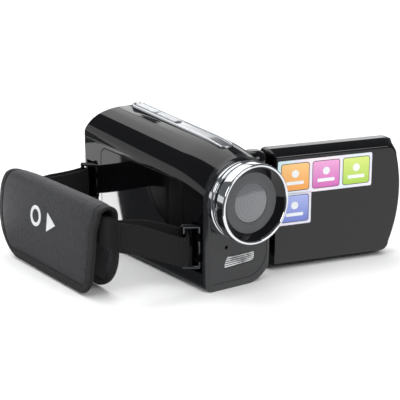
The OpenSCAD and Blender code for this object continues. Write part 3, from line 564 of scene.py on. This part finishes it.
def lidOutline(inset):
    # round-cornered plate whose far end bows outwards, shrunk by inset
    near, low, top = [max(screen[k] - inset, 0.4) for k in ("nearCorner", "farLow", "farTop")]
    y0, z0, z1 = screen["y0"] + inset, screen["z0"] + inset, screen["z1"] - inset
    lowZ, topZ = z0 + low, z1 - top
    bowZ = np.linspace(lowZ, topZ, 24)[1:-1]
    corners = [(y0 + near, z0 + near, near, 2), (bowAt(lowZ, inset) - low, lowZ, low, 3),
               (bowAt(topZ, inset) - top, topZ, top, 0), (y0 + near, z1 - near, near, 1)]
    arcs = []
    for y, z, radius, quadrant in corners:
        turn = np.linspace(0, 0.5 * math.pi, 14) + quadrant * 0.5 * math.pi
        arcs.append(np.stack([y + radius * np.cos(turn), z + radius * np.sin(turn)], 1))
    arcs.insert(2, np.stack([bowAt(bowZ, inset), bowZ], 1))
    return np.concatenate(arcs)


# the shell's sides slope in towards the face, and a narrow round edge joins the two
lidRings = [(0.0, screen["split"]), (0.08, screen["split"] + 0.4)]
lidRings += [(screen["slope"] + inset, screen["outer"] - drop) for inset, drop in (
    (0, 0.55), (0.18, 0.32), (0.42, 0.12), (0.75, 0.02), (1.0, 0))]
lidRings.append((9, screen["outer"]))
lidRows = np.stack([np.concatenate([np.full((len(lidOutline(i)), 1), x), lidOutline(i)], 1)
                    for i, x in lidRings])
columns = lidRows.shape[1]
lid = buildMesh("screenLid", toOpenScreen(lidRows), gridFaces(len(lidRings), columns, closeCols=True),
                materials["blackAbs"], "screen",
                caps=[range(columns - 1, -1, -1),
                      range((len(lidRings) - 1) * columns, len(lidRings) * columns)])
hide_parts("lcd_cover")

# Sticker on the lid: ground, tiles and plain pictograms, each a rounded plate a little prouder than the last
label = {"line": 0.3,
         "pictogram": {"Bar": ((-4.2, -3.4), (4.2, -1.9), 0.4), "Dot": ((-1.7, -0.3), (1.7, 3.1), 1.6)},
         "ground": [(10.6, 34.0, 57.0, 49.0), (10.6, 20.2, 27.0, 34.4)],
         "tiles": {"orangeTile": ((12.4, 35.6, 25.6, 47.4), "#f0a045", "#f7c57e"),
                   "lilacTile": ((27.6, 35.6, 40.6, 47.4), "#cf62b4", "#e9a3d3"),
                   "limeTile": ((42.6, 35.6, 55.6, 47.4), "#a9cf4a", "#d7e77c"),
                   "blueTile": ((12.4, 21.6, 25.6, 33.2), "#6d7fd0", "#a9b5ea")}}


def platePoints(box, radius, low, high):
    # quarter circles about the four corner centres, at two depths
    y0, z0, y1, z1 = box
    quarter = np.linspace(0, 0.5 * math.pi, 6)
    centres = ((y0 + radius, z0 + radius, math.pi), (y1 - radius, z0 + radius, 1.5 * math.pi),
               (y1 - radius, z1 - radius, 0), (y0 + radius, z1 - radius, 0.5 * math.pi))
    arcs = [np.stack([y + radius * np.cos(quarter + start), z + radius * np.sin(quarter + start)], 1)
            for y, z, start in centres]
    line = np.concatenate(arcs)
    return np.stack([np.concatenate([np.full((len(line), 1), x), line], 1) for x in (low, high)])


def labelPlate(name, box, radius, low, high, material):
    rows = platePoints(box, radius, screen["outer"] + low, screen["outer"] + high)
    n = rows.shape[1]
    return buildMesh(name, toOpenScreen(rows), gridFaces(2, n, closeCols=True), material, "screen",
                     caps=[range(n - 1, -1, -1), range(n, 2 * n)], smooth=False)


ground = [labelPlate("labelGround%d" % k, box, 0.8, 0.0, 0.05, materials["pearlFoil"])
          for k, box in enumerate(label["ground"])]
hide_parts("lcd_label")
for name, (box, low, high) in label["tiles"].items():
    grown = (box[0] - label["line"], box[1] - label["line"], box[2] + label["line"], box[3] + label["line"])
    labelPlate(name + "Line", grown, 1.2, 0.05, 0.065, materials["tileLine"])
    labelPlate(name, box, 1.0, 0.065, 0.08, printedTile(name + "Ink", low, high, box[1], box[3]))
    # pictogram: a dot over a bar, each given from the middle of the tile
    middle = np.array([box[0] + box[2], box[1] + box[3]]) / 2
    for part, (start, end, radius) in label["pictogram"].items():
        labelPlate(name + part, (*(middle + start), *(middle + end)), radius, 0.08, 0.1,
                   materials["whitePrint"])

# Strap webbing: a rounded tape section carried along a smooth route

print("strap")
strap = {"width": 12.6, "thick": 1.1,
         "front": [(-53.5, -8, 28.4), (-53.5, -20, 28.4), (-53.5, -29, 28.3), (-53.2, -33.4, 28.2),
                   (-51.8, -36.2, 27.7), (-48.8, -37.6, 27), (-45, -38.2, 26), (-40, -38.9, 24.1),
                   (-33, -40, 21.1), (-27, -40.5, 18.6), (-23.8, -40.3, 17.2), (-21.8, -39.6, 17),
                   (-20, -38.7, 17.6), (-19.6, -37.2, 18.4), (-20.4, -35.8, 19.4), (-24, -34, 20.9),
                   (-30, -32.6, 23.2), (-37, -32.4, 25.4), (-43, -33.4, 26.8), (-47.4, -34.4, 27.6),
                   (-49.9, -34.4, 28), (-51.4, -33, 28.2), (-52.1, -28.4, 28.4), (-52.1, -8, 28.4)],
         "rear": [(-52.1, 16, 28.6), (-52, 26, 28.8), (-50.6, 32.4, 29.4), (-46, 36.4, 29.6),
                  (-38, 39.4, 28.8), (-30, 41.4, 28.4), (-24, 42.8, 28.4), (-21.6, 43, 28.6),
                  (-19.6, 43.4, 28.8), (-19, 45, 28.8), (-19.8, 46.6, 28.8), (-21.8, 47, 28.6),
                  (-26, 46.4, 28.4), (-33, 44.8, 28.6), (-41, 42.2, 29.2), (-48, 38.4, 29.4),
                  (-52.4, 33.2, 29), (-53.5, 26, 28.6), (-53.5, 16, 28.6)]}


def smoothRoute(points):
    # Catmull-Rom curve through the points, six steps between neighbours
    p = np.asarray(points, float)
    p = np.concatenate([[2 * p[0] - p[1]], p, [2 * p[-1] - p[-2]]])
    t = np.linspace(0, 1, 6, endpoint=False)[None, :, None]
    a, b, c, d = (p[k:len(p) - 3 + k][:, None] for k in range(4))
    square, cube = (2 * a - 5 * b + 4 * c - d) * t ** 2, (3 * b - a - 3 * c + d) * t ** 3
    curve = 0.5 * (2 * b + (c - a) * t + square + cube)
    return np.concatenate([curve.reshape(-1, 3), p[-2:-1]])


def tape(name, route, node):
    line = smoothRoute(route)
    step = np.gradient(line[:, :2], axis=0)
    step /= np.linalg.norm(step, axis=1, keepdims=True)
    side = np.stack([-step[:, 1], step[:, 0], 0 * step[:, 0]], 1)
    walked = np.concatenate([[0], np.cumsum(np.linalg.norm(np.diff(line, axis=0), axis=1))])
    # tape section: flat faces with round selvedges
    angle = np.linspace(0, 2 * math.pi, 28, endpoint=False)
    across = np.sign(np.sin(angle)) * np.abs(np.sin(angle)) ** 0.35 * strap["width"] / 2
    through = np.sign(np.cos(angle)) * np.abs(np.cos(angle)) ** 0.5 * strap["thick"] / 2
    upwards = np.array([0, 0, 1.0])
    points = line[:, None] + side[:, None] * through[None, :, None] + upwards * across[None, :, None]
    uv = np.stack(np.broadcast_arrays(walked[:, None], across[None, :]), -1).reshape(-1, 2) * mm
    n = len(angle)
    ends = [range(n - 1, -1, -1), range((len(line) - 1) * n, len(line) * n)]
    piece = buildMesh(name, points, gridFaces(len(line), n, closeCols=True), materials["webbingRib"],
                      "body", caps=ends, uv=uv)
    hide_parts(node)


tape("frontWebbing", strap["front"], "front_webbing")
tape("rearWebbing", strap["rear"], "rear_webbing")

# Hand pad: a padded sheet folded over the webbing; s runs down each side from the fold, y along the body

print("hand pad")
pad = {"foldX": -52.4, "foldZ": 35.3, "foldRadius": 3.2, "outerLow": (-59.6, 0.6), "innerLow": (-48.6, 0.6),
       "thick": 2.5, "band": 4.0, "grooveDepth": 0.32, "grooveWidth": 0.28,
       "frontY": -30.0, "frontLowY": -26.4, "frontLean": 12, "frontCorner": 9,
       "rearY": 58.4, "rearTopCorner": 14, "rearLowCorner": 24, "rearLowStart": 18, "foldRearY": 44.4,
       "innerFrontY": -31.0, "innerFrontCorner": 20, "innerRearY": 28.6, "innerRearCorner": 10}
quarter = 0.5 * math.pi * pad["foldRadius"]


def legLength(low, topX):
    return math.hypot(low[0] - topX, low[1] - pad["foldZ"])


outerLength = quarter + legLength(pad["outerLow"], pad["foldX"] - pad["foldRadius"])
innerLength = quarter + legLength(pad["innerLow"], pad["foldX"] + pad["foldRadius"])


def foldPlace(s):
    # quarter circles on each side of the crown, then a straight leg; s is positive on the outer side
    side = np.where(s >= 0, -1.0, 1.0)
    a = np.minimum(np.abs(s), quarter) / pad["foldRadius"]
    low = np.where((s >= 0)[..., None], pad["outerLow"], pad["innerLow"])
    topX = pad["foldX"] + side * pad["foldRadius"]
    leg = np.maximum(np.abs(s) - quarter, 0)
    full = np.where(s >= 0, outerLength, innerLength) - quarter
    curled, share = np.abs(s) < quarter, leg / full
    x = np.where(curled, pad["foldX"] + side * pad["foldRadius"] * np.sin(a),
                 topX + (low[..., 0] - topX) * share)
    z = np.where(curled, pad["foldZ"] + pad["foldRadius"] * np.cos(a),
                 pad["foldZ"] + (low[..., 1] - pad["foldZ"]) * share)
    return np.stack([x, z], -1)


def roundIn(distance, radius):
    # how far a quarter circle of this radius pulls an edge in, at a distance from the end
    d = np.clip(1 - distance / radius, 0, 1)
    return radius * (1 - np.sqrt(1 - d ** 2))


def padEdges(s):
    # front edge leans back as it goes down; the rear is D-shaped; all corners are quarter ellipses
    outer = s >= 0
    down = np.abs(s)
    lean = (pad["frontLowY"] - pad["frontY"]) * np.clip(down / pad["frontLean"], 0, 1)
    front = np.where(outer, pad["frontY"] + lean + roundIn(outerLength - down, pad["frontCorner"]),
                     pad["innerFrontY"] + roundIn(innerLength - down, pad["innerFrontCorner"]))
    topPull = roundIn(down, pad["rearTopCorner"])
    lowShare = np.clip((down - pad["rearLowStart"]) / (outerLength - pad["rearLowStart"]), 0, 1)
    lowPull = pad["rearLowCorner"] * (1 - np.sqrt(1 - lowShare ** 2))
    rearOuter = pad["rearY"] - topPull - lowPull
    turn = np.clip(-s / 5, 0, 1)
    turn = turn * turn * (3 - 2 * turn)
    rearInner = pad["innerRearY"] - roundIn(innerLength - down, pad["innerRearCorner"])
    rear = np.where(outer, rearOuter, pad["foldRearY"] + (rearInner - pad["foldRearY"]) * turn)
    return front, rear


edge = np.array([0, 0.25, 0.7, 1.5, 2.6, 3.5, 3.85, 4.0, 4.15, 4.5, 5.5])
sRows = np.concatenate([-(innerLength - edge), np.linspace(-(innerLength - 7), outerLength - 7, 90),
                        (outerLength - edge)[::-1]])
front, rear = padEdges(sRows)
inside = np.linspace(0, 1, 70)[None, :]
lowY, highY = (front + edge[-1] + 0.8)[:, None], (rear - edge[-1] - 0.8)[:, None]
yGrid = np.concatenate([front[:, None] + edge[None], lowY + (highY - lowY) * inside,
                        (rear[:, None] - edge[None])[:, ::-1]], 1)
endDistance = np.minimum(outerLength - sRows, innerLength + sRows)[:, None]
distance = np.minimum(np.minimum(yGrid - front[:, None], rear[:, None] - yGrid), endDistance)
# half thickness: a round edge, a flat bound band, a seam groove at its inner line, then a soft crown
half = pad["thick"] / 2 * (0.62 * np.sqrt(1 - (1 - np.clip(distance / 0.8, 0, 1)) ** 2)
                           + 0.38 * (1 - np.exp(-np.clip(distance - pad["band"], 0, None) / 3.0)))
half -= pad["grooveDepth"] * np.exp(-((distance - pad["band"]) / pad["grooveWidth"]) ** 2)
half = np.maximum(half, 0.02)
place = foldPlace(sRows)
tangent = np.gradient(place, axis=0)
tangent /= np.linalg.norm(tangent, axis=1, keepdims=True)
normal = np.stack([tangent[:, 1], -tangent[:, 0]], 1)
middleX, middleZ = place[:, 0][:, None], place[:, 1][:, None]


def padLayer(sign):
    return np.stack([middleX + sign * half * normal[:, 0][:, None], yGrid,
                     middleZ + sign * half * normal[:, 1][:, None]], -1)


layers = [padLayer(1), padLayer(-1)]
rowsN, colsN = yGrid.shape
faceA = gridFaces(rowsN, colsN)
faceB = faceA[:, ::-1] + rowsN * colsN
border = np.concatenate([np.arange(colsN), np.arange(2 * colsN - 1, rowsN * colsN, colsN),
                         np.arange(rowsN * colsN - 2, (rowsN - 1) * colsN - 1, -1),
                         np.arange((rowsN - 2) * colsN, 0, -colsN)])
following = np.roll(border, -1)
sideFaces = np.stack([following, border, border + rowsN * colsN, following + rowsN * colsN], 1)
padPiece = buildMesh("handPad", np.concatenate([layer.reshape(-1, 3) for layer in layers]),
                     np.concatenate([faceA, faceB, sideFaces]),
                     [materials["grainedLeather"], materials["boundTape"]], "body")
# the bound tape takes every face whose middle lies within the band
faceDistance = distance.ravel()[faceA].mean(1)
fromEdge = np.concatenate([faceDistance, faceDistance, np.zeros(len(sideFaces))])
padPiece.data.polygons.foreach_set("material_index", (fromEdge < pad["band"]).astype(np.int32))
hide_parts("hand_pad")


def onOuterFlap(y, s, lift):
    # a point on the pad's outer face, lifted along its normal
    s = np.asarray(s, float)
    p = foldPlace(s)
    low, topX = pad["outerLow"], pad["foldX"] - pad["foldRadius"]
    along = np.array([low[0] - topX, low[1] - pad["foldZ"]])
    along /= np.linalg.norm(along)
    out = np.array([along[1], -along[0]])
    return np.stack([p[..., 0] + out[0] * lift, np.asarray(y, float) + 0 * s, p[..., 1] + out[1] * lift], -1)


# Plain printed marks on the pad: a ring, and a triangle that points forwards
mark = {"ringAt": (22.0, 16.5), "ringOuter": 4.6, "ringInner": 3.0,
        "triangleAt": (9.5, 17.0), "triangleSize": 4.8, "lift": 1.32}
around = np.linspace(0, 2 * math.pi, 48, endpoint=False)[None, :]
radii = np.array([mark["ringInner"], mark["ringOuter"], mark["ringOuter"], mark["ringInner"]])[:, None]
lifts = mark["lift"] + np.array([0.12, 0.12, -0.5, -0.5])[:, None]
ringMark = onOuterFlap(mark["ringAt"][0] + radii * np.cos(around),
                       mark["ringAt"][1] + radii * np.sin(around), lifts)
buildMesh("padRingMark", ringMark, gridFaces(4, 48, closeRows=True, closeCols=True),
          materials["whitePrint"], "body")
three = np.array([0, 2, 4])[None, :] * math.pi / 3 + math.pi
lifts = mark["lift"] + np.array([0.12, -0.5])[:, None]
triangle = onOuterFlap(mark["triangleAt"][0] + mark["triangleSize"] * np.cos(three) + 0 * lifts,
                       mark["triangleAt"][1] + mark["triangleSize"] * np.sin(three) + 0 * lifts, lifts)
buildMesh("padTriangleMark", triangle, gridFaces(2, 3, closeCols=True), materials["whitePrint"],
          "body", caps=[range(0, 3), range(5, 2, -1)], smooth=False)

# CAD shapes whose form is right, with softened edges

print("casing")
# a finish and an edge width for each node
shell, silverKey = ("blackAbs", 0.3), ("silverLacquer", 0.3)
kept = {"right_shell": shell, "left_shell": shell, "rear_panel": ("blackAbs", 0.25),
        "battery_door": ("blackAbs", 0.2), "front_bezel": ("bezelAbs", 0.25),
        "front_panel": ("frontAbs", 0.12), "lcd_frame": ("blackAbs", 0.5), "top_trim": ("chromePlate", 0.4),
        "top_plate": ("satinSilver", 0.2), "zoom_rocker": silverKey, "shutter_button": silverKey,
        "record_button": ("redGloss", 0.4), "mode_button": silverKey, "menu_key": silverKey,
        "up_key": silverKey, "down_key": silverKey, "play_key": silverKey,
        "hinge_block": ("darkSatin", 0.3), "memory_card": ("darkSatin", 0.1),
        "front_ring": ("nickelWire", 0), "rear_ring": ("blackWire", 0)}
for node, (finish, width) in kept.items():
    bevelledCopy(node, materials[finish], width, 0.1 if node.endswith("shell") else 1.0)

# CAD shapes that stay as they are, by finish
plain = {"darkSatin": ("lens_cell", "speaker", "battery_tray"), "greenBoard": ("sensor_board", "main_board"),
         "clearAcrylic": ("led_window",), "clearResin": ("led_emitters",), "greenLens": ("status_lamp",),
         "platedSteel": ("mic_capsule", "usb_port", "card_socket", "tripod_insert", "battery_contacts",
                         "hinge_pin", "tilt_shaft", "case_screws"),
         "cellJacket": ("battery_cells",), "displayGlass": ("lcd_panel", "lcd_window")}
for finish, nodes in plain.items():
    for node in nodes:
        mesh = frame["nodes"][node].data
        mesh.materials.clear()
        mesh.materials.append(materials[finish])

print("finish")
